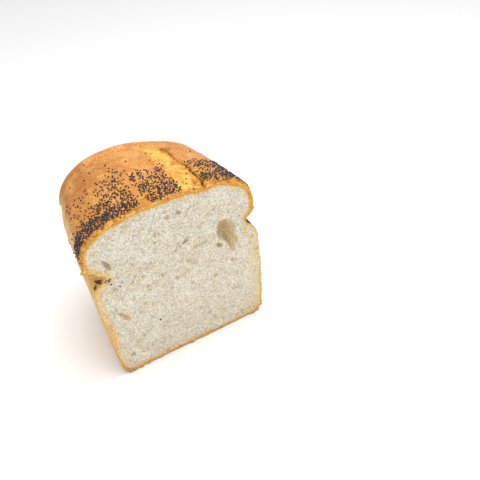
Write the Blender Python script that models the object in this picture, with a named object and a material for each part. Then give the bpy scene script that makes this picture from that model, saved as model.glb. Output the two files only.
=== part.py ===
"""Half of a tin loaf, cut across, standing on its base.

Frame: +Z up, the flat base at z = 0.  The knife cut is the face at the low-Y end
and looks along -Y, +Y runs along the loaf to its baked end, +X is to the right
when looking at the cut.  The origin is the middle of the base.  Metres.
"""
import math

import bmesh
import bpy
import numpy as np

# ---- driving dimensions -------------------------------------------------------
HALF_LENGTH = 0.094      # cut face to the baked end, at the middle of the end wall
BASE_WIDTH = 0.1124      # across the tin, just above the bottom edge
BASE_EDGE_R = 0.0090     # bottom edge radius
HEIGHT = 0.1262          # base to the top of the crust at the cut
CREASE_Z = 0.0880        # height of the shred line, where the dough rose out of the tin
DOME_Z = 0.0980          # height where the dome is widest
DOME_HALF_R = 0.0550     # dome half width, right
DOME_HALF_L = 0.0612     # dome half width, left: the loaf leaned that way in the oven
DOME_POWER = 2.85        # 2 is an ellipse, more is squarer
WALL_BOW = 0.0012        # how far the right wall bulges between base and dome

END_START = 0.064        # where the baked end starts to round over
END_POWER = 3.3          # squareness of the end in plan
END_LEAN = 0.040         # the end wall leans out with height: this share of y per 0.1 m
END_PIVOT_Z = 0.012      # the end's sections shrink towards this height
END_SKEW = -0.060        # the cut isn't square to the loaf: the right side is this share longer
TAPER_L = 0.160          # narrowing at the far end, left and right, as shares of x
TAPER_R = 0.120
DOME_DRAW = 0.115        # the dome narrows this much more than the walls do
DOME_FALL = 0.004        # fall of the dome towards the far end
DOME_TILT = 0.0055       # the far end of the dome is higher on the left
DOME_HUMP = 0.0060       # a low rise along the dome, left of its middle
HUMP_X = -0.020

CREASE_CUT_L = 0.0105    # depth of the shred line at the cut, left and right
CREASE_CUT_R = 0.0075
CREASE_FAR = 0.0026      # its depth further along and round the end
CREASE_BELOW = 0.0070    # its soft lower side and its sharper upper side
CREASE_ABOVE = 0.0042

SLASH_X = 0.0232         # the baker's slash, along the loaf
SLASH_END = 0.062
SLASH_DEPTH = 0.0022
SLASH_STEEP = 0.0030     # the side under the ear
SLASH_SOFT = 0.0100      # the burst side

POCKET_AT = (0.0330, 0.0, 0.0815)      # the large gas hole in the crumb
POCKET_HALF = (0.0060, 0.0170, 0.0150)
POCKET_TILT = math.radians(-13)

SEGMENTS = 28            # divisions along each edge of the cage


# ---- the loaf's form ----------------------------------------------------------
def resample(points, t):
    """Points at the shares t of a polyline's length."""
    points = np.asarray(points)
    steps = np.hypot(*np.diff(points, axis=0).T)
    along = np.concatenate([[0], np.cumsum(steps)]) / steps.sum()
    return np.stack([np.interp(t, along, points[:, i]) for i in (0, 1)], -1)


def section_sides():
    """The cross-section as four polylines (x, z): bottom, right, top and left, each from low to high parameter."""
    half, r, n = BASE_WIDTH / 2, BASE_EDGE_R, DOME_POWER
    rise = HEIGHT - DOME_Z
    quarter = np.linspace(0, math.pi / 2, 60)
    wall_z = np.linspace(r, DOME_Z, 120)
    share = (wall_z - r) / (DOME_Z - r)

    def corner(sign, a0, a1):
        a = np.linspace(a0, a1, 24)
        return np.stack([sign * (half - r + r * np.sin(a)), r - r * np.cos(a)], -1)

    def dome(width, a):
        c, s = np.abs(np.cos(a)), np.abs(np.sin(a))
        return np.stack([np.sign(np.cos(a)) * width(a) * c ** (2 / n), DOME_Z + rise * s ** (2 / n)], -1)

    def width(a):
        return np.where(np.cos(a) > 0, DOME_HALF_R, DOME_HALF_L)

    right_x = half + (DOME_HALF_R - half) * share ** 2 + WALL_BOW * np.sin(math.pi * share)
    left_x = -(half + (DOME_HALF_L - half) * share)
    mid, shoulder = math.pi / 4, math.pi / 4
    bottom = np.concatenate([corner(-1, mid, 0), corner(1, 0, mid)])
    right = np.concatenate([corner(1, mid, math.pi / 2), np.stack([right_x, wall_z], -1)[1:],
                            dome(width, np.linspace(0, shoulder, 60))[1:]])
    top = dome(width, np.linspace(math.pi - shoulder, shoulder, 240))
    left = np.concatenate([corner(-1, mid, math.pi / 2), np.stack([left_x, wall_z], -1)[1:],
                           dome(width, math.pi - np.linspace(0, shoulder, 60))[1:]])
    return bottom, right, top, left


def crowd(t, *peaks):
    """Moves evenly spaced shares closer together round each peak's share, by its gain and over its width."""
    grid = np.linspace(0, 1, 2001)
    density = 1 + sum(gain * np.exp(-((grid - middle) / width) ** 2) for middle, gain, width in peaks)
    total = np.concatenate([[0], np.cumsum((density[1:] + density[:-1]) / 2)])
    return np.interp(t, total / total[-1], grid)


def section(u, w, sides):
    """(x, z) on the section's outline for points on the edge of the square |u|, |w| <= 1."""
    bottom, right, top, left = sides
    out = np.zeros(u.shape + (2,))
    tu = crowd((u + 1) / 2, (0, 1.5, 0.07), (1, 1.5, 0.07))
    tw = crowd((w + 1) / 2, (0, 2.0, 0.07), (0.70, 2.4, 0.09))
    tu_top = crowd((u + 1) / 2, (0.70, 1.2, 0.10))
    on_right, on_left = (u >= np.abs(w)) & (u > 0), (-u >= np.abs(w)) & (u < 0)
    on_top, on_bottom = (w >= np.abs(u)) & ~on_right & ~on_left, (w < 0) & ~on_right & ~on_left
    for mask, line, t in ((on_right, right, tw), (on_left, left, tw), (on_top, top, tu_top), (on_bottom, bottom, tu)):
        out[mask] = resample(line, t[mask])
    return out


def meridian():
    """(shrink, y) from the cut, along a side, round the end and to the end's middle, at even steps of length."""
    a = np.linspace(0, math.pi / 2, 400)
    shrink = np.cos(a) ** (2 / END_POWER)
    y = END_START + (HALF_LENGTH - END_START) * np.sin(a) ** (2 / END_POWER)
    return np.concatenate([[[1.0, 0.0]], np.stack([shrink, y], -1)])


def crease_depth(x, y, z):
    """How far the shred line is drawn in."""
    near = np.exp(-((y / 0.030) ** 2))
    at_cut = np.where(x > 0, CREASE_CUT_R, CREASE_CUT_L)
    depth = CREASE_FAR + (at_cut - CREASE_FAR) * near
    middle = CREASE_Z + 0.0020 * (y / HALF_LENGTH) + 0.0010 * np.sin(70 * y)
    reach = np.where(z < middle, CREASE_BELOW, CREASE_ABOVE)
    return depth * np.exp(-((z - middle) / reach) ** 2)


def slash_drop(x, y):
    """The fall of the crust at the slash: steep under the ear, soft on the burst side."""
    line = SLASH_X + 0.0018 * np.sin(math.pi * y / SLASH_END) - 0.0030 * np.clip(y / SLASH_END, 0, 1) ** 3 - 0.0010 * np.exp(-y / 0.006)
    away = x - line
    reach = np.where(away > 0, SLASH_STEEP, SLASH_SOFT)
    fade = np.clip((SLASH_END - y) / 0.014, 0, 1)
    return SLASH_DEPTH * np.exp(-((away / reach) ** 2)) * fade * fade * (3 - 2 * fade)


def loaf(cage):
    """Moves the cage's points, on a cube from -1 to 1, onto the half loaf."""
    u, v, w = cage.T
    ring = np.maximum(np.abs(u), np.abs(w))
    safe = np.maximum(ring, 1e-9)
    edge = section(u / safe, w / safe, section_sides())
    edge[ring < 1e-9] = (0, 0.06)

    # along the loaf: the cage's long sides take the meridian up to 0.62 of its length, its end cap the rest
    path = meridian() * (BASE_WIDTH / 2, 1)
    steps = np.hypot(*np.diff(path, axis=0).T)
    along = np.concatenate([[0], np.cumsum(steps)]) / steps.sum()
    share = np.where(v > 1 - 1e-6, 0.62 + 0.38 * (1 - ring), 0.62 * (v + 1) / 2)
    shrink = np.interp(share, along, path[:, 0]) / (BASE_WIDTH / 2)
    y = np.interp(share, along, path[:, 1])
    cut = v < -1 + 1e-6
    shrink, y = np.where(cut, ring, shrink), np.where(cut, 0, y)

    pivot = np.where(cut, 0.06, END_PIVOT_Z)
    x = edge[:, 0] * shrink
    z = pivot + (edge[:, 1] - pivot) * shrink

    # draw in the shred line, square to the wall in plan
    level = np.clip(y / HALF_LENGTH, 0, 1)
    nx = np.clip(x / 0.045, -1, 1) * np.clip(shrink, 0, 1) ** 2
    ny = np.clip(1 - shrink, 0, 1) * 1.6
    size = np.maximum(np.hypot(nx, ny), 1e-9)
    depth = np.where(cut, crease_depth(x, y, z) * np.clip((ring - 0.6) / 0.4, 0, 1) ** 2, crease_depth(x, y, z))
    x, y = x - depth * nx / size, y - np.where(cut, 0, depth * ny / size)

    # the taper, the end wall's lean and the slash
    x = x * (1 - np.where(x > 0, TAPER_R, TAPER_L) * level ** 2)
    y = y * (1 + END_LEAN * (z - 0.05) / 0.1)
    up = np.clip((z - CREASE_Z) / (HEIGHT - CREASE_Z), 0, 1)
    z = z - up ** 2 * slash_drop(x, y)

    # the dome: it falls and narrows towards the end, leans left, and has a low rise along it
    z = z - up * DOME_FALL * level ** 1.2
    x = x * (1 - up * DOME_DRAW * level ** 2)
    z = z + up * level * (DOME_TILT * -x / 0.06 + DOME_HUMP * np.exp(-(((x - HUMP_X) / 0.03) ** 2)))
    y = y * (1 - END_SKEW * x / 0.06)
    return np.stack([x, y, z], -1)


# ---- building -----------------------------------------------------------------
def clear_scene():
    for obj in list(bpy.data.objects):
        bpy.data.objects.remove(obj, do_unlink=True)


def add_collection(name):
    made = bpy.data.collections.new(name)
    bpy.context.scene.collection.children.link(made)
    return made


def crust_material():
    mat = bpy.data.materials.new("bread")
    mat.use_nodes = True
    shader = mat.node_tree.nodes["Principled BSDF"]
    shader.inputs["Base Color"].default_value = (0.74, 0.42, 0.13, 1)
    shader.inputs["Roughness"].default_value = 0.6
    shader.inputs["Metallic"].default_value = 0.0
    return mat


def make_loaf(parts):
    bm = bmesh.new()
    bmesh.ops.create_cube(bm, size=2)
    bmesh.ops.subdivide_edges(bm, edges=bm.edges[:], cuts=SEGMENTS - 1, use_grid_fill=True)
    placed = loaf(np.array([v.co[:] for v in bm.verts]))
    for vert, point in zip(bm.verts, placed):
        vert.co = point
    # the origin is the middle of the base's box in plan
    lo, hi = placed.min(0), placed.max(0)
    shift = (-(lo[0] + hi[0]) / 2, -(lo[1] + hi[1]) / 2, -lo[2])
    bmesh.ops.translate(bm, vec=shift, verts=bm.verts)
    bmesh.ops.recalc_face_normals(bm, faces=bm.faces)
    mesh = bpy.data.meshes.new("bread")
    bm.to_mesh(mesh)
    bm.free()
    obj = bpy.data.objects.new("bread", mesh)
    obj.data.materials.append(crust_material())
    parts.objects.link(obj)
    mesh.shade_smooth()
    mesh.set_sharp_from_angle(angle=math.radians(50))
    return obj, shift


def make_pocket(cutters, shift):
    bm = bmesh.new()
    bmesh.ops.create_uvsphere(bm, u_segments=20, v_segments=12, radius=1)
    mesh = bpy.data.meshes.new("pocket_cutter")
    bm.to_mesh(mesh)
    bm.free()
    cutter = bpy.data.objects.new("pocket_cutter", mesh)
    cutters.objects.link(cutter)
    cutter.location = [a + b for a, b in zip(POCKET_AT, shift)]
    cutter.rotation_euler = (0, POCKET_TILT, 0)
    cutter.scale = POCKET_HALF
    cutter.hide_render = True
    cutter.display_type = "WIRE"
    return cutter


def main():
    clear_scene()
    parts = add_collection("tin_loaf_half")
    cutters = add_collection("cutters")
    bread, shift = make_loaf(parts)
    pocket = make_pocket(cutters, shift)
    cut = bread.modifiers.new("gas_pocket", "BOOLEAN")
    cut.operation = "DIFFERENCE"
    cut.object = pocket


main()
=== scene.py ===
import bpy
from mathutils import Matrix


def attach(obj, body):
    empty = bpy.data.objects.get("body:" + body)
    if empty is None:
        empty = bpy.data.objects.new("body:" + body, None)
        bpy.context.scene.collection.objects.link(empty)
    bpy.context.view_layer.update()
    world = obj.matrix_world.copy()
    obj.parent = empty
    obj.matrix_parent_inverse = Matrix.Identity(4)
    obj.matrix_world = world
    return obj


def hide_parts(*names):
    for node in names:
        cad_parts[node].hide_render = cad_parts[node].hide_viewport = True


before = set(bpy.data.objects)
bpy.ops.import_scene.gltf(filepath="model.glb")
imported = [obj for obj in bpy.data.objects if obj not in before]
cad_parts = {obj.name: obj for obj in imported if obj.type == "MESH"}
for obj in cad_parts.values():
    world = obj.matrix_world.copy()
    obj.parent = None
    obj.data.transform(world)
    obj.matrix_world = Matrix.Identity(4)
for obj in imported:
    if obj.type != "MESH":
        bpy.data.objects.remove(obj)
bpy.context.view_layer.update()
import math

import bmesh
import bpy
import numpy as np
from mathutils import Matrix, Vector
from mathutils.bvhtree import BVHTree

# ---- the half loaf's form, as in the solid -------------------------------------
HALF_LENGTH = 0.094
BASE_WIDTH = 0.1124
BASE_EDGE_R = 0.0090
HEIGHT = 0.1262
CREASE_Z = 0.0880
DOME_Z = 0.0980
DOME_HALF_R = 0.0550
DOME_HALF_L = 0.0612
DOME_POWER = 2.85
WALL_BOW = 0.0012
END_START = 0.064
END_POWER = 3.3
END_LEAN = 0.040
END_PIVOT_Z = 0.012
END_SKEW = -0.060
TAPER_L = 0.160
TAPER_R = 0.120
DOME_DRAW = 0.115
DOME_FALL = 0.004
DOME_TILT = 0.0055
DOME_HUMP = 0.0060
HUMP_X = -0.020
CREASE_CUT_L = 0.0105
CREASE_CUT_R = 0.0075
CREASE_FAR = 0.0026
CREASE_BELOW = 0.0070
CREASE_ABOVE = 0.0042
SLASH_X = 0.0232
SLASH_END = 0.062
SLASH_DEPTH = 0.0018
SLASH_STEEP = 0.0030
SLASH_SOFT = 0.0100

N_SIDE = 230             # divisions along each side of the section
N_ALONG = 100            # rows along the loaf
TRIANGLES = 190_000      # the bread mesh is thinned to this
CRUMB_GAIN, CRUST_GAIN = 0.97, np.array([0.82, 0.80, 0.66])


def resample(points, t):
    points = np.asarray(points)
    steps = np.hypot(*np.diff(points, axis=0).T)
    along = np.concatenate([[0], np.cumsum(steps)]) / steps.sum()
    return np.stack([np.interp(t, along, points[:, i]) for i in (0, 1)], -1)


def section_sides():
    half, r, n = BASE_WIDTH / 2, BASE_EDGE_R, DOME_POWER
    rise = HEIGHT - DOME_Z
    wall_z = np.linspace(r, DOME_Z, 120)
    share = (wall_z - r) / (DOME_Z - r)

    def corner(sign, a0, a1):
        a = np.linspace(a0, a1, 24)
        return np.stack([sign * (half - r + r * np.sin(a)), r - r * np.cos(a)], -1)

    def dome(width, a):
        c, s = np.abs(np.cos(a)), np.abs(np.sin(a))
        return np.stack([np.sign(np.cos(a)) * width(a) * c ** (2 / n), DOME_Z + rise * s ** (2 / n)], -1)

    def width(a):
        return np.where(np.cos(a) > 0, DOME_HALF_R, DOME_HALF_L)

    right_x = half + (DOME_HALF_R - half) * share ** 2 + WALL_BOW * np.sin(math.pi * share)
    left_x = -(half + (DOME_HALF_L - half) * share)
    mid, shoulder = math.pi / 4, math.pi / 4
    bottom = np.concatenate([corner(-1, mid, 0), corner(1, 0, mid)])
    right = np.concatenate([corner(1, mid, math.pi / 2), np.stack([right_x, wall_z], -1)[1:],
                            dome(width, np.linspace(0, shoulder, 60))[1:]])
    top = dome(width, np.linspace(math.pi - shoulder, shoulder, 240))
    left = np.concatenate([corner(-1, mid, math.pi / 2), np.stack([left_x, wall_z], -1)[1:],
                           dome(width, math.pi - np.linspace(0, shoulder, 60))[1:]])
    return bottom, right, top, left


def crowd(t, *peaks):
    grid = np.linspace(0, 1, 2001)
    density = 1 + sum(gain * np.exp(-((grid - middle) / width) ** 2) for middle, gain, width in peaks)
    total = np.concatenate([[0], np.cumsum((density[1:] + density[:-1]) / 2)])
    return np.interp(t, total / total[-1], grid)


def section(u, w, sides):
    bottom, right, top, left = sides
    out = np.zeros(u.shape + (2,))
    tu = crowd((u + 1) / 2, (0, 1.5, 0.07), (1, 1.5, 0.07))
    tw = crowd((w + 1) / 2, (0, 1.6, 0.07), (0.70, 2.0, 0.09))
    tu_top = crowd((u + 1) / 2, (0.70, 1.2, 0.10))
    on_right, on_left = (u >= np.abs(w)) & (u > 0), (-u >= np.abs(w)) & (u < 0)
    on_top, on_bottom = (w >= np.abs(u)) & ~on_right & ~on_left, (w < 0) & ~on_right & ~on_left
    for mask, line, t in ((on_right, right, tw), (on_left, left, tw), (on_top, top, tu_top), (on_bottom, bottom, tu)):
        out[mask] = resample(line, t[mask])
    return out


def meridian():
    a = np.linspace(0, math.pi / 2, 400)
    shrink = np.cos(a) ** (2 / END_POWER)
    y = END_START + (HALF_LENGTH - END_START) * np.sin(a) ** (2 / END_POWER)
    return np.concatenate([[[1.0, 0.0]], np.stack([shrink, y], -1)])


def crease_depth(x, y, z):
    near = np.exp(-((y / 0.030) ** 2))
    at_cut = np.where(x > 0, CREASE_CUT_R, CREASE_CUT_L)
    depth = CREASE_FAR + (at_cut - CREASE_FAR) * near
    middle = CREASE_Z + 0.0020 * (y / HALF_LENGTH) + 0.0010 * np.sin(70 * y)
    reach = np.where(z < middle, CREASE_BELOW, CREASE_ABOVE)
    return depth * np.exp(-((z - middle) / reach) ** 2)


def slash_line(y):
    return SLASH_X + 0.0018 * np.sin(math.pi * y / SLASH_END) - 0.0030 * np.clip(y / SLASH_END, 0, 1) ** 3 - 0.0010 * np.exp(-y / 0.006)


def slash_drop(x, y):
    away = x - slash_line(y)
    reach = np.where(away > 0, SLASH_STEEP, SLASH_SOFT)
    fade = np.clip((SLASH_END - y) / 0.014, 0, 1)
    return SLASH_DEPTH * np.exp(-((away / reach) ** 2)) * fade * fade * (3 - 2 * fade)


def loaf(cage):
    """The points of a cube from -1 to 1, moved onto the half loaf. The cut is at v = -1."""
    u, v, w = cage.T
    ring = np.maximum(np.abs(u), np.abs(w))
    safe = np.maximum(ring, 1e-9)
    edge = section(u / safe, w / safe, section_sides())
    edge[ring < 1e-9] = (0, 0.06)
    path = meridian() * (BASE_WIDTH / 2, 1)
    steps = np.hypot(*np.diff(path, axis=0).T)
    along = np.concatenate([[0], np.cumsum(steps)]) / steps.sum()
    share = np.where(v > 1 - 1e-6, 0.62 + 0.38 * (1 - ring), 0.62 * (v + 1) / 2)
    shrink = np.interp(share, along, path[:, 0]) / (BASE_WIDTH / 2)
    y = np.interp(share, along, path[:, 1])
    cut = v < -1 + 1e-6
    shrink, y = np.where(cut, ring, shrink), np.where(cut, 0, y)
    pivot = np.where(cut, 0.06, END_PIVOT_Z)
    x = edge[:, 0] * shrink
    z = pivot + (edge[:, 1] - pivot) * shrink
    level = np.clip(y / HALF_LENGTH, 0, 1)
    nx = np.clip(x / 0.045, -1, 1) * np.clip(shrink, 0, 1) ** 2
    ny = np.clip(1 - shrink, 0, 1) * 1.6
    size = np.maximum(np.hypot(nx, ny), 1e-9)
    depth = np.where(cut, crease_depth(x, y, z) * np.clip((ring - 0.6) / 0.4, 0, 1) ** 2, crease_depth(x, y, z))
    x, y = x - depth * nx / size, y - np.where(cut, 0, depth * ny / size)
    x = x * (1 - np.where(x > 0, TAPER_R, TAPER_L) * level ** 2)
    y = y * (1 + END_LEAN * (z - 0.05) / 0.1)
    up = np.clip((z - CREASE_Z) / (HEIGHT - CREASE_Z), 0, 1)
    z = z - up ** 2 * slash_drop(x, y)
    z = z - up * DOME_FALL * level ** 1.2
    x = x * (1 - up * DOME_DRAW * level ** 2)
    z = z + up * level * (DOME_TILT * -x / 0.06 + DOME_HUMP * np.exp(-(((x - HUMP_X) / 0.03) ** 2)))
    y = y * (1 - END_SKEW * x / 0.06)
    return np.stack([x, y, z], -1)


# ---- noise ---------------------------------------------------------------------
def hashed(ix, iy, iz, seed):
    n = (ix * 374761393 + iy * 668265263 + iz * 1274126177 + seed * 974634777) & 0x7FFFFFFF
    n = ((n ^ (n >> 13)) * 1103515245 + 12345) & 0x7FFFFFFF
    n = ((n ^ (n >> 15)) * 69069 + 1) & 0x7FFFFFFF
    return ((n >> 7) & 0xFFFF) / 65535.0


def noise(p, size, seed=0, stretch=(1, 1, 1)):
    """Smooth noise from -1 to 1 at points p, with features about `size` metres across."""
    q = p / (size * np.asarray(stretch)) + 1000.0
    i = np.floor(q).astype(np.int64)
    f = q - i
    f = f * f * (3 - 2 * f)
    total = 0.0
    for dx in (0, 1):
        for dy in (0, 1):
            for dz in (0, 1):
                weight = (f[..., 0] if dx else 1 - f[..., 0]) * (f[..., 1] if dy else 1 - f[..., 1]) * (f[..., 2] if dz else 1 - f[..., 2])
                total = total + weight * hashed(i[..., 0] + dx, i[..., 1] + dy, i[..., 2] + dz, seed)
    return 2 * total - 1


def layered(p, size, octaves=3, seed=0, stretch=(1, 1, 1)):
    total, gain = 0.0, 1.0
    for k in range(octaves):
        total = total + gain * noise(p, size / 2 ** k, seed + 17 * k, stretch)
        gain *= 0.5
    return total / (2 - 2 * 0.5 ** octaves)


def smooth(a, b, x):
    t = np.clip((x - a) / (b - a), 0, 1)
    return t * t * (3 - 2 * t)


def linear(*rgb):
    c = np.array(rgb, float) / 255
    return np.where(c <= 0.04045, c / 12.92, ((c + 0.055) / 1.055) ** 2.4)


def mix(a, b, t):
    t = np.asarray(t)[..., None]
    return a * (1 - t) + b * t


# ---- the crumb's pores, as a height map over the cut face ------------------------
MAP_STEP = 0.0002
MAP_X0, MAP_Z0 = -0.066, -0.004
MAP_W, MAP_H = 665, 680

GAS_HOLE = [(34.7, 95.0), (30.0, 95.4), (27.2, 90.5), (26.9, 84.5), (28.6, 79.0), (32.6, 76.0), (34.6, 71.5), (36.7, 62.6),
            (38.4, 69.0), (39.5, 80.0), (39.0, 89.0)]
SLITS = [  # ends (mm), half width, depth
    ((-48.8, 100.2), (-45.5, 91.0), 1.5, 2.6),
    ((-48.3, 55.5), (-42.0, 45.3), 1.7, 2.0),
    ((25.4, 77.8), (28.4, 74.0), 1.7, 2.6),
    ((-47.4, 15.2), (-45.4, 13.6), 1.5, 2.6),
]
PORES = [  # middle (mm), half sizes, turn, depth
    ((2.5, 113.0), (1.5, 1.7), 0.2, 1.8), ((-3.6, 85.9), (1.0, 1.9), -0.5, 1.4), ((3.6, 89.5), (2.2, 1.5), 0.6, 2.0),
    ((-27.7, 76.6), (1.6, 1.2), 0.3, 1.3), ((-5.7, 64.1), (1.6, 2.1), 0.1, 1.5), ((-34.9, 75.3), (1.4, 1.2), 0.8, 1.2),
    ((-32.6, 89.2), (1.4, 1.7), 0.0, 1.2), ((-14.8, 103.0), (1.3, 1.6), 0.3, 1.3), ((3.9, 74.2), (1.5, 1.2), 0.4, 1.2),
    ((13.5, 20.2), (1.5, 1.8), 0.5, 1.4), ((-5.2, 112.4), (1.8, 2.2), 0.1, 1.4), ((-20.5, 84.0), (1.2, 1.0), 0.5, 1.0),
    ((-26.0, 67.5), (1.0, 1.4), 0.2, 1.1), ((-37.0, 62.0), (1.4, 1.1), 0.1, 1.0), ((-15.0, 72.0), (1.2, 1.7), 0.2, 1.1),
    ((14.0, 97.0), (1.2, 1.0), 0.4, 1.0), ((-36.0, 27.0), (0.8, 2.1), 0.1, 1.3), ((42.0, 52.0), (0.9, 1.3), 0.3, 1.0),
    ((31.0, 38.0), (1.1, 1.0), 0.2, 1.0), ((9.0, 50.0), (1.3, 0.9), 0.9, 0.9), ((-2.0, 34.0), (0.9, 1.2), 0.7, 0.9),
    ((23.0, 103.0), (0.9, 1.2), 0.5, 0.9), ((39.0, 107.0), (1.0, 0.8), 0.1, 0.9), ((-22.0, 15.0), (1.6, 0.8), 0.3, 1.0),
    ((20.0, 62.0), (1.2, 0.8), 1.0, 0.9), ((46.0, 66.0), (0.9, 1.1), 0.2, 0.9), ((-19.0, 48.0), (1.1, 0.9), 0.5, 0.8),
    ((-43.0, 84.0), (1.2, 0.8), 0.7, 0.9), ((-9.0, 94.0), (1.0, 1.3), 0.2, 1.0), ((32.0, 16.0), (1.0, 0.8), 0.3, 0.9),
]


def gas_hole(x, z):
    """Depth of the large gas hole, in metres, at points in metres: steep on the left, a long smooth wall on the right."""
    cx, cz = 0.0332, 0.0815
    ring = np.array(GAS_HOLE) / 1000 - (cx, cz)
    angle = np.arctan2(ring[:, 1], ring[:, 0])
    order = np.argsort(angle)
    angle, radius = angle[order], np.hypot(*ring.T)[order]
    angle = np.concatenate([angle - 2 * math.pi, angle, angle + 2 * math.pi])
    radius = np.tile(radius, 3)
    fine = np.linspace(-math.pi, math.pi, 361)
    table = np.interp(fine, angle, radius)
    kernel = np.hanning(13) / np.hanning(13).sum()
    table = np.convolve(np.concatenate([table[-7:-1], table, table[1:7]]), kernel, "valid")
    a = np.arctan2(z - cz, x - cx)
    q = np.hypot(x - cx, z - cz) / np.interp(a, fine, table)
    lean = (x - cx) / 0.006 + 0.4 * (z - cz) / 0.015     # left is steep, right slopes
    body = np.clip(1 - q ** 2.2, 0, 1) ** (0.45 + 0.75 * smooth(-0.5, 0.5, lean))
    return 0.0140 * body, q


def pore_map():
    rng = np.random.default_rng(7)
    depth = np.zeros((MAP_H, MAP_W))

    def stamp(x, z, a, b, turn, deep, power=0.6):
        reach = max(a, b) * 1.3
        i0, i1 = int((x - reach - MAP_X0) / MAP_STEP), int((x + reach - MAP_X0) / MAP_STEP) + 2
        j0, j1 = int((z - reach - MAP_Z0) / MAP_STEP), int((z + reach - MAP_Z0) / MAP_STEP) + 2
        i0, j0, i1, j1 = max(i0, 0), max(j0, 0), min(i1, MAP_W), min(j1, MAP_H)
        if i0 >= i1 or j0 >= j1:
            return
        gx = MAP_X0 + np.arange(i0, i1) * MAP_STEP - x
        gz = MAP_Z0 + np.arange(j0, j1) * MAP_STEP - z
        X, Z = np.meshgrid(gx, gz)
        c, s = math.cos(turn), math.sin(turn)
        q = ((X * c + Z * s) / a) ** 2 + ((Z * c - X * s) / b) ** 2
        wobble = 1 + 0.25 * np.sin(3 * np.arctan2(Z, X) + turn * 7)
        here = deep * np.clip(1 - q * wobble, 0, 1) ** power
        depth[j0:j1, i0:i1] = np.maximum(depth[j0:j1, i0:i1], here)

    def scatter(count, small, large, deep, oval):
        for _ in range(count):
            x, z = rng.uniform(-0.062, 0.058), rng.uniform(0.0, 0.128)
            r = small * (large / small) ** (rng.random() ** 1.6)
            stamp(x, z, r, r * rng.uniform(1, oval), rng.uniform(0, math.pi), deep * r * rng.uniform(0.6, 1.2))

    scatter(7600, 0.00028, 0.00060, 0.80, 1.8)
    scatter(2400, 0.00050, 0.00095, 0.70, 2.2)
    scatter(380, 0.00085, 0.00165, 0.68, 2.0)
    for (x, z), (a, b), turn, deep in PORES:
        stamp(x / 1000, z / 1000, a / 1000, b / 1000, turn, deep / 1000)
        for _ in range(4):
            stamp((x + rng.normal(0, a)) / 1000, (z + rng.normal(0, b)) / 1000, a * 0.5 / 1000, b * 0.5 / 1000,
                  rng.uniform(0, 3), deep * 0.6 / 1000)
    for (x0, z0), (x1, z1), half, deep in SLITS:
        turn = math.atan2(z1 - z0, x1 - x0)
        stamp((x0 + x1) / 2000, (z0 + z1) / 2000, math.hypot(x1 - x0, z1 - z0) / 2000 + 0.0006, half / 1000, turn, deep / 1000)
    return depth


def sample_map(grid, x, z):
    fx = np.clip((x - MAP_X0) / MAP_STEP, 0, MAP_W - 1.001)
    fz = np.clip((z - MAP_Z0) / MAP_STEP, 0, MAP_H - 1.001)
    i, j = fx.astype(int), fz.astype(int)
    fx, fz = fx - i, fz - j
    return ((grid[j, i] * (1 - fx) + grid[j, i + 1] * fx) * (1 - fz)
            + (grid[j + 1, i] * (1 - fx) + grid[j + 1, i + 1] * fx) * fz)


# ---- the bread mesh --------------------------------------------------------------
def cage_mesh(n, m):
    """(cage points, quads, is_cut per quad): the cut's grid, the skin in m rows and the end's grid, joined."""
    t = np.linspace(-1, 1, n + 1)
    ring = ([(t[i], -1) for i in range(n)] + [(1, t[i]) for i in range(n)]
            + [(t[n - i], 1) for i in range(n)] + [(-1, t[n - i]) for i in range(n)])
    ring = np.array(ring, float)
    around = len(ring)
    rows = np.linspace(0, 1, m + 1)
    rows = 0.45 * rows + 0.55 * rows ** 2
    points = [np.stack([ring[:, 0], np.full(around, -1 + 2 * r), ring[:, 1]], -1) for r in rows]
    a = np.arange(m)[:, None] * around + np.arange(around)[None, :]
    b = np.arange(m)[:, None] * around + (np.arange(around)[None, :] + 1) % around
    skin = np.stack([a, b, b + around, a + around], -1).reshape(-1, 4)

    def cap(first_ring, first_free, v):
        index = np.zeros((n + 1, n + 1), int)      # [w, u]
        index[0, :n] = first_ring + np.arange(n)
        index[:n, n] = first_ring + n + np.arange(n)
        index[n, ::-1][:n] = first_ring + 2 * n + np.arange(n)
        index[::-1, 0][:n] = first_ring + 3 * n + np.arange(n)
        free = n - 1
        index[1:n, 1:n] = first_free + np.arange(free * free).reshape(free, free)
        U, W = np.meshgrid(t[1:n], t[1:n])
        inner = np.stack([U.ravel(), np.full(free * free, float(v)), W.ravel()], -1)
        quads = np.stack([index[:-1, :-1], index[:-1, 1:], index[1:, 1:], index[1:, :-1]], -1).reshape(-1, 4)
        return inner, quads

    count = (m + 1) * around
    inner_cut, quads_cut = cap(0, count, -1)
    inner_end, quads_end = cap(m * around, count + len(inner_cut), 1)
    points = np.concatenate(points + [inner_cut, inner_end])
    quads = np.concatenate([skin[:, ::-1], quads_cut, quads_end[:, ::-1]])
    kind = np.concatenate([np.zeros(len(skin), int), np.ones(len(quads_cut), int), np.zeros(len(quads_end), int)])
    return points, quads, kind


def make_mesh(name, points, quads, kind=None):
    mesh = bpy.data.meshes.new(name)
    size = quads.shape[1]
    mesh.vertices.add(len(points))
    mesh.vertices.foreach_set("co", np.asarray(points, np.float32).ravel())
    mesh.loops.add(quads.size)
    mesh.loops.foreach_set("vertex_index", quads.astype(np.int32).ravel())
    mesh.polygons.add(len(quads))
    mesh.polygons.foreach_set("loop_start", np.arange(0, quads.size, size, dtype=np.int32))
    if kind is not None:
        mesh.polygons.foreach_set("material_index", kind.astype(np.int32))
    mesh.polygons.foreach_set("use_smooth", np.ones(len(quads), bool))
    mesh.update(calc_edges=True)
    mesh.validate()
    return mesh


def vertex_normals(mesh):
    out = np.empty(len(mesh.vertices) * 3, np.float32)
    mesh.vertex_normals.foreach_get("vector", out)
    return out.reshape(-1, 3).astype(float)


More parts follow.
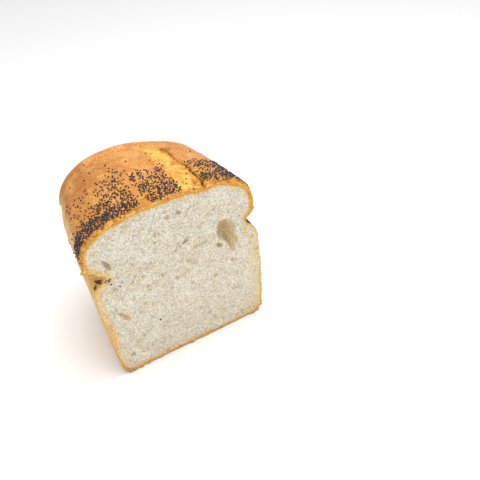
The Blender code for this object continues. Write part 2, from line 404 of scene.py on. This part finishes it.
def outline_distance(points, ring):
    """Distance in plan of the cut (x, z) from each point to the closed line of ring points."""
    a, b = ring, np.roll(ring, -1, 0)
    ab = b - a
    length = (ab ** 2).sum(1)
    best = np.full(len(points), 1e9)
    for start in range(0, len(points), 4000):
        p = points[start:start + 4000]
        ap = p[:, None] - a[None]
        t = np.clip((ap * ab).sum(2) / length, 0, 1)
        d = ((ap - t[..., None] * ab) ** 2).sum(2)
        best[start:start + 4000] = np.sqrt(d.min(1))
    return best


n_side, n_along = ((N_SIDE, N_ALONG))
cage, quads, kind = cage_mesh(n_side, n_along)
base = loaf(cage)
lo, hi = base.min(0), base.max(0)
SHIFT = np.array([-(lo[0] + hi[0]) / 2, -(lo[1] + hi[1]) / 2, -lo[2]])

smooth_mesh = make_mesh("smooth", base, quads)
normal = vertex_normals(smooth_mesh)
bpy.data.meshes.remove(smooth_mesh)

on_cut = cage[:, 1] < -1 + 1e-6
ring_share = np.maximum(np.abs(cage[:, 0]), np.abs(cage[:, 2]))
on_rim = on_cut & (ring_share > 1 - 1e-6)
inside = on_cut & ~on_rim
skin = ~inside
x, y, z = base.T
up = smooth(0.086, 0.094, z)

ring_points = base[np.arange(4 * n_side)][:, [0, 2]]
girth_path = np.concatenate([ring_points[:1], ring_points[::-1][:3 * n_side]])
GIRTH = np.concatenate([[0], np.cumsum(np.hypot(*np.diff(girth_path, axis=0).T))])    # from the base's left corner


def girth_at(cage_points):
    """Distance round the section at the cut, from the base's left corner over the top, of each point's place."""
    share = np.maximum(np.maximum(np.abs(cage_points[:, 0]), np.abs(cage_points[:, 2])), 1e-9)
    U, W = cage_points[:, 0] / share, cage_points[:, 2] / share
    left, top, right = -U > 1 - 1e-6, W > 1 - 1e-6, U > 1 - 1e-6
    place = np.where(left, (W + 1) / 2, np.where(top, 1 + (U + 1) / 2, np.where(right, 2 + (1 - W) / 2, 0.0)))
    return np.interp(place * n_side, np.arange(3 * n_side + 1), GIRTH)


girth = girth_at(cage)


# relief of the crust
def above_shred(g, y):
    """Distance above the upper edge of the pale shred zone, round the section, left and right."""
    left = g - (0.1020 + 0.0170 * smooth(-0.004, 0.020, y) - 0.003 * smooth(0.060, 0.075, y))
    right = (0.2560 - 0.0100 * smooth(-0.004, 0.028, y) + 0.003 * smooth(0.060, 0.075, y)) - g
    return np.minimum(left, right)


away = x - slash_line(y)
along_y = base * (0, 1, 0)
top_face = smooth(0.55, 0.85, normal[:, 2]) * up
slash_fade = smooth(0.074, 0.058, y)
burst_edge = 0.0035 * layered(base, 0.009, 2, 5)
burst = top_face * slash_fade * smooth(-0.0185, -0.0085, away + burst_edge) * smooth(0.0014, -0.0002, away)
wobble = 0.0008 * noise(along_y, 0.005, 31) + 0.0004 * noise(along_y, 0.0016, 32)
crack_wide = 0.00042 + 0.00022 * noise(along_y, 0.004, 33) + 0.0007 * np.exp(-(((y - 0.0600) / 0.0035) ** 2)) + 0.0004 * np.exp(-(((y - 0.0075) / 0.003) ** 2))
crack = top_face * smooth(0.066, 0.061, y) * np.exp(-(((away + wobble) / crack_wide) ** 2)) * (0.55 + 0.45 * smooth(-0.5, 0.3, noise(along_y, 0.003, 34)))
lump = 0.00040 * layered(base, 0.016, 3, 1) + 0.00012 * layered(base, 0.0035, 3, 2)
strands = layered(base, 0.0034, 3, 3, (1, 1.7, 1))
burst_relief = 0.00065 * strands + 0.0004 * np.abs(noise(base, 0.0022, 4))
to_end = smooth(0.056, 0.074, y)
rise = above_shred(girth, y) * (1 - to_end) + (z - 0.1020 + 0.0025 * np.sin(x / 0.017) + 0.0040 * layered(base, 0.020, 2, 78)) * to_end + 0.0015 * layered(base, 0.007, 2, 62)
walls = smooth(0.0008, -0.0008, rise)
shred = smooth(0.058, 0.078, z) * walls
stretch_marks = layered(base, 0.0030, 3, 6, (1, 1.0, 2.6))
tear = (0.00038 * stretch_marks + 0.00025 * layered(base, 0.008, 2, 7)) * shred
step = -0.0010 * smooth(0.0004, -0.0006, rise) * smooth(-0.016, -0.004, rise)
shoulder = 0.0017 * np.exp(-(((x - 0.003) / 0.016) ** 2)) * smooth(0.055, 0.075, y) * smooth(0.092, 0.102, z)
height = lump + shoulder + burst * burst_relief - 0.0013 * crack + tear + step
ear = top_face * smooth(0.066, 0.056, y) * np.exp(-(((away - 0.0020) / 0.0014) ** 2))
height = height + 0.0004 * ear
wrinkle = np.clip(1 - np.abs(layered(base, 0.011, 3, 9)) / 0.07, 0, 1) * smooth(0.0, 0.4, noise(base, 0.026, 10)) * smooth(0.0, 0.002, rise)
height = height - 0.00022 * wrinkle
near_cut = smooth(0.004, 0.0, y)
rim_rough = layered(base, 0.0030, 2, 12) * near_cut
height = height + 0.00050 * rim_rough
bevel_reach = 0.0014 + 0.0014 * smooth(-0.015, -0.032, x) + 0.0010 * smooth(0.022, 0.036, x) + 0.0008 * layered(base * (1, 0, 1), 0.005, 2, 14)
bevel = (0.0007 + 0.0006 * layered(base, 0.0045, 2, 13)) * smooth(bevel_reach, 0.0, y) * up
on_base = smooth(0.006, 0.001, z)
height = np.where(z < 0.004, 0.0002 * rim_rough, height)

# pores of the crumb
pores = pore_map()
edge_ring = base[on_rim][:, [0, 2]]
order = np.argsort(np.arctan2(edge_ring[:, 1] - 0.06, edge_ring[:, 0]))
ring_index = np.arange(4 * n_side)
edge_line = base[ring_index][:, [0, 2]]
flat = base[inside][:, [0, 2]]
edge_gap = np.zeros(len(base))
edge_gap[inside] = outline_distance(flat, edge_line)
deep = sample_map(pores, x, z)
hole, hole_q = gas_hole(x, z)
crumb_weight = smooth(0.0002, 0.0016, edge_gap)
crumb_rough = 0.00022 * layered(base, 0.0028, 3, 40) + 0.00030 * np.clip(layered(base, 0.010, 2, 41), -1, 1)
hole_rough = 0.0006 * layered(base, 0.003, 2, 42) * smooth(0.0, 0.004, hole) * smooth(0.1, -0.3, (x - 0.0335) / 0.006)
cut_depth = (deep * smooth(0.95, 1.1, hole_q) + crumb_rough + 0.00025) * crumb_weight + hole + hole_rough

points = base.copy()
radial = np.stack([x, np.zeros_like(x), z - 0.06], -1)
radial /= np.maximum(np.linalg.norm(radial, axis=1, keepdims=True), 1e-6)
points[skin] += normal[skin] * height[skin][:, None]
inner_bevel = 0.0007 * smooth(0.084, 0.098, z) * smooth(0.007, 0.0, edge_gap)
points -= radial * np.where(inside, inner_bevel, bevel)[:, None]
points[on_cut, 1] = 0.0
# the rim at the cut: the base's edge is a little wavy, as the knife leaves it
wave = 0.00100 * np.clip(layered(base * (1, 0, 1), 0.006, 3, 51), -0.25, 0.8) + 0.00025 * noise(base * (1, 0, 1), 0.0018, 52)
edge_only = np.exp(-((y / 0.0035) ** 2)) * smooth(0.9, 1.0, ring_share)
points[:, 2] += np.where(z < 0.012, wave * edge_only * np.where(on_base > 0, 1, 0.5), 0)
points[inside, 1] = cut_depth[inside]
fringe = 0.0008 * np.clip(layered(base * (1, 0, 1), 0.0036, 3, 53), -0.3, 1) * smooth(0.93, 1.0, ring_share)
points[on_rim, 1] -= (fringe * np.where(z < 0.012, 2.1, 0.9))[on_rim]

# colours, by place
top_mid, top_left, top_right = linear(229, 159, 92), linear(190, 123, 62), linear(224, 155, 90)
gold, burst_gold, brown = linear(226, 158, 62), linear(248, 188, 80), linear(168, 98, 32)
pale, side, low_side = linear(236, 193, 120), linear(233, 186, 116), linear(226, 174, 98)
lean_left = smooth(-0.008, -0.052, x + 0.006 * layered(base, 0.02, 2, 60))
colour = mix(top_mid, top_left, lean_left * (0.30 + 0.65 * smooth(0.018, 0.055, y)))
colour = mix(colour, top_right, smooth(0.024, 0.030, x))
colour = mix(colour, gold, smooth(0.040, 0.012, y) * smooth(-0.35, 0.45, layered(base, 0.011, 3, 61)) * 0.65)
colour = mix(colour, top_left * 0.95, smooth(0.0, 0.7, layered(base, 0.020, 3, 59)) * 0.45)
colour = mix(colour, linear(246, 184, 112), smooth(0.05, 0.6, layered(base, 0.009, 2, 58)) * 0.6)
colour = mix(colour, linear(196, 126, 56), smooth(0.1, 0.6, layered(base, 0.006, 3, 54)) * 0.5)
# painted shade: the sunken wrinkle grooves are darkened towards brown
colour = mix(colour, brown * 1.35, wrinkle * 0.35)
wall_colour = mix(low_side, side, smooth(0.0, 0.045, z + 0.006 * noise(base, 0.02, 63)))
wall_colour = mix(wall_colour, pale, smooth(0.058, 0.080, z + 0.005 * noise(base, 0.012, 64)))
wall_colour = mix(wall_colour, low_side * 0.97, smooth(0.062, 0.088, y) * 0.6)
wall_colour = mix(wall_colour, linear(205, 148, 84), smooth(0.15, 0.6, stretch_marks) * shred * 0.35)
strip = smooth(0.083, 0.087, z) * smooth(0.090, 0.060, y)
wall_colour = mix(wall_colour, linear(244, 220, 168), strip * 0.6 * smooth(0.0, 0.02, x))
wall_colour = mix(wall_colour, linear(186, 124, 62), strip * smooth(0.10, 0.45, layered(base, 0.0026, 3, 79, (1, 0.7, 1.8))) * 0.6)
colour = mix(colour, wall_colour, np.maximum(walls, 0.75 * smooth(0.0045, -0.0008, rise)))
colour = mix(colour, brown * 1.5, np.exp(-((rise / 0.0008) ** 2)) * 0.18)
colour = mix(colour, burst_gold, burst * 0.85)
colour = mix(colour, linear(208, 134, 46), burst * smooth(0.0, 0.45, layered(base, 0.0032, 3, 65, (1, 1.6, 1))) * 0.8)
colour = mix(colour, linear(255, 217, 126), burst * smooth(0.1, -0.4, strands) * 0.65)
colour = mix(colour, linear(255, 221, 134), burst * smooth(0.2, 0.6, noise(base, 0.0021, 66)) * 0.55)
colour = mix(colour, linear(190, 116, 36), burst * smooth(0.25, 0.7, noise(base, 0.0018, 56)) * 0.6)
colour = mix(colour, linear(196, 118, 38), burst * np.exp(-((away / 0.0022) ** 2)) * 0.6)
spot_far = np.exp(-(((y - 0.0605) / 0.0026) ** 2) - (((away - 0.0030) / 0.0036) ** 2))
spot_near = np.exp(-(((y - 0.0080) / 0.0030) ** 2) - (((away + 0.0050) / 0.0014) ** 2))
colour = mix(colour, linear(160, 92, 28), np.clip(spot_far + spot_near, 0, 1) * top_face * 0.75)
crack_halo = top_face * smooth(0.068, 0.062, y) * np.exp(-(((away + wobble - 0.0008) / 0.0013) ** 2))
colour = mix(colour, linear(176, 106, 34), crack_halo * smooth(-0.3, 0.4, layered(base, 0.0026, 2, 77)) * 0.45)
# the dark crack line is partly browned crust and partly painted shade in the narrow slit
colour = mix(colour, linear(118, 66, 22), np.clip(crack * 1.3, 0, 1) * 0.9)
brown_line = np.exp(-(((y - bevel_reach) / 0.0009) ** 2)) * up
rim_band = smooth(bevel_reach + 0.0008, bevel_reach - 0.0004, y) * up
colour = mix(colour, linear(222, 158, 62), rim_band * 0.9)
colour = mix(colour, linear(168, 102, 30), rim_band * smooth(-0.2, 0.35, layered(base, 0.0024, 2, 67)) * 0.85)
colour = mix(colour, linear(250, 206, 122), rim_band * smooth(0.0, -0.4, layered(base, 0.0020, 2, 67)) * 0.7)
colour = mix(colour, brown, brown_line * smooth(-0.6, 0.5, layered(base, 0.004, 2, 57)) * 0.6)
base_side = smooth(0.0025, 0.0005, z) * smooth(0.2, 0.9, -normal[:, 2])
colour = mix(colour, linear(196, 138, 74), base_side)
grain = 0.17 * layered(base, 0.0045, 3, 68) + 0.17 * noise(base, 0.0016, 55) + 0.16 * noise(base, 0.0010, 69)
skin_mottle = 1 + grain[:, None] * np.array([0.65, 1.0, 1.4])
colour = colour * (1 + (skin_mottle - 1) * (1 - 0.55 * walls)[:, None]) * CRUST_GAIN * (1 + 0.10 * walls)[:, None]

crumb_mid, crumb_low, crumb_high = linear(218, 209, 190), linear(211, 202, 183), linear(220, 211, 193)
crumb = mix(crumb_low, crumb_mid, smooth(0.01, 0.05, z))
crumb = mix(crumb, crumb_high, smooth(0.08, 0.115, z))
plane = base * (1, 0, 1)
cells = layered(plane, 0.0019, 2, 70)
crumb = crumb * (1 + (0.10 * cells + 0.06 * layered(plane, 0.009, 3, 72) + 0.09 * noise(plane, 0.0009, 73))[:, None] * np.array([0.85, 1.0, 1.35]))
crumb = mix(crumb, linear(206, 188, 148), smooth(0.25, 0.6, noise(plane, 0.0026, 74)) * 0.50)
crumb = mix(crumb, linear(232, 226, 212), smooth(0.15, 0.55, noise(plane, 0.0065, 76)) * 0.35)
# painted shade: the crumb is darkened to tan where the pores are deep
crumb = mix(crumb, linear(197, 172, 125), smooth(0.0003, 0.0012, deep) * 0.76)
crumb = mix(crumb, mix(linear(230, 219, 193), linear(236, 216, 172), smooth(0.0318, 0.0345, x + 0.25 * (z - 0.0815))), smooth(0.0003, 0.0040, hole))
side_gap = edge_gap + 0.0007 * layered(base, 0.004, 2, 71)
warm = mix(linear(222, 196, 136), linear(214, 176, 108), smooth(0.02, 0.0, z))
reach = 0.0060 + 0.0035 * smooth(0.05, 0.02, z) * smooth(-0.03, -0.05, x) + 0.0090 * smooth(0.036, 0.048, x) * smooth(0.09, 0.07, z)
crumb = mix(crumb, warm, smooth(reach, 0.0012, side_gap) * (0.50 + 0.30 * smooth(0.09, 0.11, z) + 0.25 * smooth(0.02, 0.0, z)))
rim_colour = mix(linear(214, 160, 78), linear(222, 156, 58), up)
rim_colour = mix(rim_colour, linear(196, 146, 78), smooth(0.012, 0.004, z))
rim_colour = rim_colour * (1 + 0.16 * layered(plane, 0.0026, 2, 75)[:, None])
soft_edge = smooth(0.0, -0.030, x) * smooth(0.094, 0.088, z) * smooth(0.018, 0.040, z)
soft_right = smooth(0.030, 0.045, x) * smooth(0.088, 0.080, z) * smooth(0.010, 0.030, z)
soft = np.maximum(soft_edge, 0.6 * soft_right)
rim_colour = mix(rim_colour, linear(236, 194, 128), soft * (0.80 - 0.60 * smooth(0.060, 0.030, z)))
thick = 0.0005 * up + 0.0004 * smooth(0.03, 0.0, z) + 0.0012 * smooth(0.030, 0.046, x) * smooth(0.086, 0.092, z)
crumb = mix(crumb, mix(linear(231, 198, 142), linear(226, 166, 82), smooth(0.066, 0.034, z)), smooth(0.0070, 0.0010, side_gap) * soft_edge * 0.75)
crumb = mix(crumb, rim_colour, smooth(0.0020, 0.0006, side_gap - thick) * (1 - 0.55 * soft))
fold = (z - 0.0891) - (-0.0487 - x) * 0.98
flap_area = smooth(0.0006, -0.0004, fold) * smooth(0.0895, 0.0905, z + 0.001) * (x < -0.047)
crumb = mix(crumb, linear(226, 190, 116), flap_area * 0.85)
crumb = crumb * CRUMB_GAIN
colour[inside] = crumb[inside]
colour[on_rim] = mix(rim_colour, colour, 0.3 * np.ones(len(colour)))[on_rim]
colour = np.clip(colour, 0, 1)

mesh = make_mesh("bread", points + SHIFT, quads, kind)
tint = mesh.color_attributes.new("tint", "FLOAT_COLOR", "POINT")
fleck_amount = np.where(inside, 1.0, 1 - 0.70 * walls)
tint.data.foreach_set("color", np.concatenate([colour, fleck_amount[:, None]], 1).astype(np.float32).ravel())
bread = bpy.data.objects.new("loaf", mesh)
bpy.context.scene.collection.objects.link(bread)
if TRIANGLES < 2 * len(quads):
    thin = bread.modifiers.new("thin", "DECIMATE")
    thin.ratio = TRIANGLES / (2 * len(quads))
    graph = bpy.context.evaluated_depsgraph_get()
    thinned = bpy.data.meshes.new_from_object(bread.evaluated_get(graph))
    bread.modifiers.clear()
    bread.data = thinned
    thinned.name = "loaf"
print("bread triangles", sum(len(p.vertices) - 2 for p in bread.data.polygons))


# ---- materials -------------------------------------------------------------------
def shader_material(name, roughness, bumps, specular=0.4, fleck=0.0, subsurface=0.0):
    """Reads the tint, adds a fine fleck, and a bump from noise layers (scale, strength in metres)."""
    mat = bpy.data.materials.new(name)
    mat.use_nodes = True
    nodes, links = mat.node_tree.nodes, mat.node_tree.links
    shader = nodes["Principled BSDF"]
    shader.inputs["Roughness"].default_value = roughness
    shader.inputs["Specular IOR Level"].default_value = specular
    if subsurface:
        shader.inputs["Subsurface Weight"].default_value = subsurface
        shader.inputs["Subsurface Radius"].default_value = (1.0, 0.75, 0.5)
        shader.inputs["Subsurface Scale"].default_value = 0.0015
    attribute = nodes.new("ShaderNodeAttribute")
    attribute.attribute_name = "tint"
    place = nodes.new("ShaderNodeTexCoord")
    speck = nodes.new("ShaderNodeTexNoise")
    speck.inputs["Scale"].default_value = 820
    speck.inputs["Detail"].default_value = 3
    links.new(place.outputs["Object"], speck.inputs["Vector"])
    spread = nodes.new("ShaderNodeMapRange")
    spread.inputs["From Min"].default_value = 0.25
    spread.inputs["From Max"].default_value = 0.75
    spread.inputs["To Min"].default_value = -fleck
    spread.inputs["To Max"].default_value = fleck
    links.new(speck.outputs["Fac"], spread.inputs["Value"])
    amount = nodes.new("ShaderNodeMath")
    amount.operation = "MULTIPLY_ADD"
    amount.inputs[2].default_value = 1.0
    links.new(spread.outputs["Result"], amount.inputs[0])
    links.new(attribute.outputs["Alpha"], amount.inputs[1])
    times = nodes.new("ShaderNodeVectorMath")
    times.operation = "SCALE"
    links.new(attribute.outputs["Color"], times.inputs[0])
    links.new(amount.outputs["Value"], times.inputs["Scale"])
    links.new(times.outputs["Vector"], shader.inputs["Base Color"])
    last = None
    for scale, distance in bumps:
        grain = nodes.new("ShaderNodeTexNoise")
        grain.inputs["Scale"].default_value = scale
        grain.inputs["Detail"].default_value = 4
        links.new(place.outputs["Object"], grain.inputs["Vector"])
        bump = nodes.new("ShaderNodeBump")
        bump.inputs["Strength"].default_value = 1.0
        bump.inputs["Distance"].default_value = distance
        links.new(grain.outputs["Fac"], bump.inputs["Height"])
        if last:
            links.new(last.outputs["Normal"], bump.inputs["Normal"])
        last = bump
    links.new(last.outputs["Normal"], shader.inputs["Normal"])
    return mat


crust_mat = shader_material("crust", 0.50, [(260, 0.0009), (1100, 0.0004)], specular=0.22, fleck=0.40)
crumb_mat = shader_material("crumb", 0.85, [(420, 0.0007), (1300, 0.0004)], specular=0.15, fleck=0.08)
bread.data.materials.clear()
bread.data.materials.append(crust_mat)
bread.data.materials.append(crumb_mat)
bread.data.polygons.foreach_set("use_smooth", np.ones(len(bread.data.polygons), bool))
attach(bread, "root")
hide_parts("bread")


# ---- the torn flap over the left shred line at the cut -----------------------------
def leaf(outline, y0, y1, lift, seed):
    """A thin closed leaf from an outline in the cut's plane (mm): its front at y0, its back at y1, both curved."""
    pts = np.array(outline) / 1000
    pts = resample(np.concatenate([pts, pts[:1]]), np.linspace(0, 1, 61)[:-1])
    middle = pts.mean(0)
    rings, shares = [], np.linspace(1, 0.08, 8)
    for side in (0, 1):
        for k, share in enumerate(shares if side == 0 else shares[1:]):
            ring = middle + (pts - middle) * share
            bulge = lift * math.sqrt(1 - share ** 2)
            depth = np.full(len(ring), y0 - bulge if side == 0 else y1 + bulge)
            if side == 0 and k == 0:
                depth[:] = (y0 + y1) / 2
            p = np.stack([ring[:, 0], depth, ring[:, 1]], -1)
            p[:, 1] += 0.0003 * layered(p, 0.002, 2, seed)
            p[:, 2] += 0.00025 * layered(p, 0.0024, 2, seed + 1)
            rings.append(p)
    count, first = len(pts), len(shares)
    quads = []
    for side in (0, 1):
        order = list(range(first)) if side == 0 else [0] + list(range(first, 2 * first - 1))
        for a, b in zip(order[:-1], order[1:]):
            for i in range(count):
                j = (i + 1) % count
                quad = [a * count + i, a * count + j, b * count + j, b * count + i]
                quads.append(quad if side else quad[::-1])
        last = order[-1]
        ends = [last * count + i for i in range(count)]
        for i in range(0, count // 2 - 1):
            quad = [ends[i], ends[i + 1], ends[count - 2 - i], ends[count - 1 - i]]
            quads.append(quad if side else quad[::-1])
    return np.concatenate(rings), np.array(quads)


flap_points, flap_quads = leaf([(-63.4, 97.2), (-62.0, 98.9), (-60.2, 99.6), (-58.2, 99.3), (-55.5, 97.2), (-52.6, 94.3), (-50.0, 91.4),
                                (-47.6, 88.6), (-49.6, 89.0), (-52.0, 90.8), (-55.0, 93.4), (-58.0, 95.4), (-61.0, 96.7)], -0.0003, 0.0016, 0.0004, 80)
flap_mesh = make_mesh("flap", flap_points + SHIFT, flap_quads)
flap_colour = np.tile(linear(230, 192, 114), (len(flap_points), 1)) * CRUST_GAIN
flap_colour = mix(flap_colour, linear(206, 154, 72), smooth(0.0, 0.5, layered(flap_points, 0.0022, 2, 83)) * 0.6)
flap_colour = mix(flap_colour, linear(240, 214, 152), smooth(-0.061, -0.049, flap_points[:, 0]) * 0.5)
flap_tint = flap_mesh.color_attributes.new("tint", "FLOAT_COLOR", "POINT")
flap_tint.data.foreach_set("color", np.concatenate([flap_colour, np.ones((len(flap_colour), 1))], 1).astype(np.float32).ravel())
flap = bpy.data.objects.new("torn_flap", flap_mesh)
bpy.context.scene.collection.objects.link(flap)
flap.data.materials.append(crust_mat)
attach(flap, "root")


# ---- poppy seeds -----------------------------------------------------------------
sm = bread.data
tree = BVHTree.FromPolygons([v.co[:] for v in sm.vertices], [p.vertices[:] for p in sm.polygons])
rng = np.random.default_rng(21)

line = np.concatenate([base[ring_index][:, [0, 2]]])
line = np.roll(line, -3 * n_side, 0)       # bottom left corner is the ring's first point
ring_pts = base[ring_index][:, [0, 2]]


def dome_at(s, y_at):
    """The place on the crust s mm round the section from the base's left corner and y_at mm from the cut."""
    path = np.concatenate([ring_pts[:1], ring_pts[::-1][:3 * n_side]])
    steps = np.hypot(*np.diff(path, axis=0).T)
    along = np.concatenate([[0], np.cumsum(steps)]) * 1000
    return np.stack([np.interp(s, along, path[:, 0]), np.asarray(y_at) / 1000, np.interp(s, along, path[:, 1])], -1)


def blob(s, t, s0, t0, ws, wt):
    return np.exp(-(((s - s0) / ws) ** 2) - (((t - t0) / wt) ** 2))


def seed_density(s, t):
    """Seeds per square millimetre at s mm round the section and t mm from the cut."""
    start = 2.6 + 1.3 * smooth(172, 158, s)
    left = 2.4 * smooth(110, 114, s) * smooth(164, 160, s) * smooth(13.5, 10.5, t - 2.5 * blob(s, t, 124, 11, 7, 9)) * smooth(start - 0.8, start + 0.3, t)
    left = left + 0.42 * smooth(124, 134, s) * smooth(165, 161, s) * smooth(27, 14, t - 0.22 * (s - 140)) * (t > 8)
    left = left + 0.34 * blob(s, t, 157, 32, 6, 7) + 0.30 * blob(s, t, 161, 42, 4.5, 3.5) + 0.05 * smooth(118, 128, s) * smooth(164, 160, s) * smooth(46, 36, t)
    middle = 0.46 * smooth(166, 170, s) * smooth(193, 189, s) * smooth(38.5, 36, t + 0.10 * np.abs(s - 179)) * smooth(2.0, 3.2, t)
    middle = middle * (1 + 0.45 * smooth(15, 8, t)) * smooth(162, 168, s + 0.1 * t)
    right = 0.46 * smooth(207, 211, s) * smooth(250, 238, s) * smooth(24, 14, t - 0.30 * (s - 216)) * smooth(2.0, 3.4, t)
    right = right + 0.36 * smooth(208, 214, s) * smooth(242, 234, s) * smooth(41, 30, t - 0.10 * (s - 216)) * (t > 6)
    stray = 0.004 * smooth(80, 30, t) * smooth(112, 120, s) * smooth(240, 230, s) + 0.012 * smooth(48, 30, t) * smooth(190, 184, s + 0 * t)
    at = np.stack([s, t, 0 * s], -1) / 1000
    clumps = np.clip(1.0 + 1.1 * layered(at, 0.0042, 2, 90), 0.15, 2.2)
    packed = smooth(0.9, 1.4, left)
    return (left + middle + right) * (clumps * (1 - packed) + packed) + stray


spots = []
for _ in range(90_000):
    s, t = rng.uniform(98, 256), rng.uniform(1.5, 84)
    if rng.random() > seed_density(np.float64(s), np.float64(t)) * 158 * 82.5 / 90_000 * 1.10:
        continue
    spots.append((s, t))
spots += [(148, 67), (148.5, 55), (173.5, 53), (190.5, 58), (189, 48), (191.5, 40.5), (123.5, 44), (131, 41), (123.5, 36), (208.5, 12), (199.5, 15)]
spots = np.array(spots)
placed = dome_at(spots[:, 0], spots[:, 1])
cells = {}
frames = []
for p in placed:
    level = min(p[1] / HALF_LENGTH, 1)
    guess = Vector((p[0] * (1 - 0.14 * level ** 2), p[1], p[2] + 0.002)) + Vector(SHIFT)
    start = Vector((0.0, guess.y, 0.085))
    way = (guess - start).normalized()
    hit, n, _, _ = tree.ray_cast(start + way * 0.2, -way)
    if hit is None:
        continue
    key = tuple(int(c // 0.00095) for c in hit)
    near = any((hit - o).length < 0.00092 for dx in (-1, 0, 1) for dy in (-1, 0, 1) for dz in (-1, 0, 1)
               for o in cells.get((key[0] + dx, key[1] + dy, key[2] + dz), ()))
    if near:
        continue
    cells.setdefault(key, []).append(hit)
    frames.append((hit, n))
print("seeds on the crust", len(frames))

# seeds packed into the right shred line behind the cut
for _ in range(420):
    reach = rng.random() ** 1.4 * 26
    level = rng.normal(86.0, 1.9 * (1 - reach / 50))
    if level > 91 or reach < 1.0 or rng.random() < reach / 34:
        continue
    start = Vector((0.2, SHIFT[1] + reach / 1000, level / 1000))
    hit, n, _, _ = tree.ray_cast(start, Vector((-1, 0, 0)))
    if hit is None or any((hit - o).length < 0.00088 for o, _ in frames[-90:]):
        continue
    frames.append((hit, n))

# seeds caught in the torn shred line at the cut, and one lone seed on the crumb: where a line from the front corner meets the bread
front = Vector((-0.092, -0.259, 0.31)) + Vector(SHIFT)
for sx, sz in ((-56.2, 88.6), (-55.2, 88.2), (-54.2, 87.9), (-55.8, 87.2), (-54.7, 86.9), (-53.7, 86.8), (-55.2, 85.9), (-54.1, 85.6),
               (-56.6, 85.2), (-57.6, 84.4), (-56.9, 83.5), (-57.9, 82.9), (-53.2, 85.4), (-52.8, 87.5), (-49.6, 85.9), (-48.6, 85.4),
               (-47.6, 85.6), (-48.4, 84.3), (-50.9, 85.0), (-47.8, 81.6), (-43.0, 77.5), (-22.9, 35.7)):
    aim = Vector((sx / 1000, 0, sz / 1000)) + Vector(SHIFT)
    hit, n, _, _ = tree.ray_cast(front, (aim - front).normalized())
    if hit is not None:
        frames.append((hit, n))


def seed_shape():
    bm = bmesh.new()
    bmesh.ops.create_icosphere(bm, subdivisions=2, radius=1)
    pts = np.array([v.co[:] for v in bm.verts])
    faces = np.array([[v.index for v in f.verts] for f in bm.faces])
    bm.free()
    # a little kidney: drawn in on one side
    pts[:, 1] += 0.16 * pts[:, 0] ** 2
    pts = pts * (0.55, 0.51, 0.46)
    return pts, faces


seed_pts, seed_faces = seed_shape()
all_pts, all_faces, shade = [], [], []
for i, (hit, n) in enumerate(frames):
    spin = rng.uniform(0, 2 * math.pi)
    tilt = rng.normal(0, 0.35)
    size = (rng.uniform(0.92, 1.14) if i < len(frames) - 1 else 1.30) / 1000
    zed = n.normalized()
    turn = zed.to_track_quat("Z", "Y").to_matrix() @ Matrix.Rotation(spin, 3, "Z") @ Matrix.Rotation(tilt, 3, "X")
    centre = hit + zed * (0.26 * size)
    all_pts.append(seed_pts @ np.array(turn).T * size + np.array(centre))
    all_faces.append(seed_faces + i * len(seed_pts))
    shade.append(np.full(len(seed_pts), rng.random()))
seed_mesh = make_mesh("seeds", np.concatenate(all_pts), np.concatenate(all_faces))
grey = np.concatenate(shade)
seed_dark, seed_blue = linear(17, 17, 27), linear(58, 59, 76)
seed_colour = mix(np.tile(seed_dark, (len(grey), 1)), seed_blue, smooth(0.45, 1.0, grey))
attribute = seed_mesh.color_attributes.new("tint", "FLOAT_COLOR", "POINT")
attribute.data.foreach_set("color", np.concatenate([seed_colour, np.ones((len(seed_colour), 1))], 1).astype(np.float32).ravel())
seeds = bpy.data.objects.new("poppy_seeds", seed_mesh)
bpy.context.scene.collection.objects.link(seeds)
seeds.data.materials.append(shader_material("poppy_seed", 0.36, [(2600, 0.00012)], specular=0.55, fleck=0.25))
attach(seeds, "root")
print("seed triangles", len(seed_mesh.polygons))

# ---- floor, light and camera -------------------------------------------------------
floor_mesh = bpy.data.meshes.new("floor")
floor_mesh.from_pydata([(-3, -3, 0), (3, -3, 0), (3, 3, 0), (-3, 3, 0)], [], [(0, 1, 2, 3)])
floor = bpy.data.objects.new("floor", floor_mesh)
floor.location.z = -0.0004
bpy.context.scene.collection.objects.link(floor)
floor_mat = bpy.data.materials.new("floor")
floor_mat.use_nodes = True
floor_mat.node_tree.nodes["Principled BSDF"].inputs["Base Color"].default_value = (0.93, 0.93, 0.93, 1)
floor_mat.node_tree.nodes["Principled BSDF"].inputs["Roughness"].default_value = 0.9
floor_mat.node_tree.nodes["Principled BSDF"].inputs["Specular IOR Level"].default_value = 0.1
floor.data.materials.append(floor_mat)

scene = bpy.context.scene
scene.view_settings.view_transform = "Standard"
world = bpy.data.worlds.new("studio")
scene.world = world
world.use_nodes = True
world.node_tree.nodes["Background"].inputs["Color"].default_value = (1.0, 1.0, 1.0, 1)
world.node_tree.nodes["Background"].inputs["Strength"].default_value = 0.76


def area_light(name, location, target, size, power):
    data = bpy.data.lights.new(name, "AREA")
    data.shape = "DISK"
    data.size = size
    data.energy = power
    obj = bpy.data.objects.new(name, data)
    obj.location = location
    obj.rotation_euler = (Vector(target) - Vector(location)).to_track_quat("-Z", "Y").to_euler()
    scene.collection.objects.link(obj)
    return obj


area_light("key", (0.10, -0.12, 1.05), (0, 0, 0.06), 0.80, 6.8)
area_light("fill", (0.45, -0.85, 0.55), (0, 0, 0.06), 0.7, 1.2)

A, E, R = (math.radians(a) for a in (27.4, 39.0, 5.0))
look = np.array([math.sin(A) * math.cos(E), math.cos(A) * math.cos(E), -math.sin(E)])
right = np.array([math.cos(A), -math.sin(A), 0])
above = np.cross(right, look)
image_x = math.cos(R) * right - math.sin(R) * above
image_y = math.sin(R) * right + math.cos(R) * above
spot = np.array([-0.092, -0.259, 0.31]) + SHIFT
cam_data = bpy.data.cameras.new("camera")
cam_data.sensor_width = 36
cam_data.lens = 559 / 480 * 36
cam_data.clip_start = 0.01
camera = bpy.data.objects.new("camera", cam_data)
turn = Matrix([[image_x[i], image_y[i], -look[i]] for i in range(3)]).to_4x4()
camera.matrix_world = Matrix.Translation(Vector(spot)) @ turn
scene.collection.objects.link(camera)
scene.camera = camera
